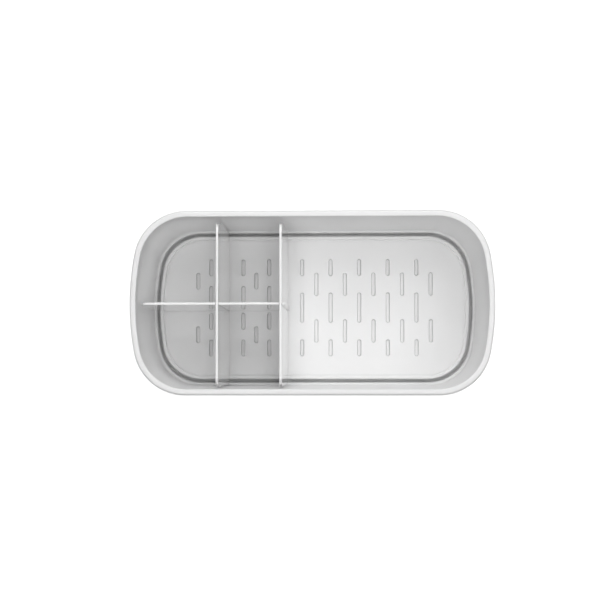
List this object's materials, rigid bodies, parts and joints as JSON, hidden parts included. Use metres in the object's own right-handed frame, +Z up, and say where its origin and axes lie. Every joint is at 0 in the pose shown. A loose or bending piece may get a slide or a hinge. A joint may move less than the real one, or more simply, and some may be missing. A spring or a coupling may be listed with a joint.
{
  "type": "bathroom organizer",
  "caption": "Open white bathroom storage bin with rounded corners, a lift-out slotted drain tray and lift-out dividers that slot together to part one end into small compartments.",
  "frame": {"origin": "on the table, under the middle of the bin", "axes": "+X along the length, away from the small compartments; +Y across the width; +Z up"},
  "size_m": [0.27, 0.1366, 0.099],
  "materials": {
    "bin_plastic": "white satin moulded plastic",
    "tray_plastic": "white satin moulded plastic",
    "divider_plastic": "white glossy moulded plastic, smoother than the bin",
    "foot_rubber": "matt grey soft rubber"
  },
  "bodies": {
    "bin": {"bin_body": "bin_plastic", "foot_front_left": "foot_rubber", "foot_front_right": "foot_rubber", "foot_back_left": "foot_rubber", "foot_back_right": "foot_rubber"},
    "tray": {"drain_tray": "tray_plastic"},
    "long_panel": {"long_divider": "divider_plastic"},
    "left_panel": {"cross_divider_left": "divider_plastic"},
    "right_panel": {"cross_divider_right": "divider_plastic"}
  },
  "joints": [
    {"name": "tray_lift", "type": "slide", "parent": "bin", "child": "tray", "axis": [0, 0, 1], "range_m": [0, 0.1]},
    {"name": "long_divider_lift", "type": "slide", "parent": "tray", "child": "long_panel", "axis": [0, 0, 1], "range_m": [0, 0.1]},
    {"name": "left_cross_divider_lift", "type": "slide", "parent": "long_panel", "child": "left_panel", "axis": [0, 0, 1], "range_m": [0, 0.1]},
    {"name": "right_cross_divider_lift", "type": "slide", "parent": "long_panel", "child": "right_panel", "axis": [0, 0, 1], "range_m": [0, 0.1]}
  ]
}
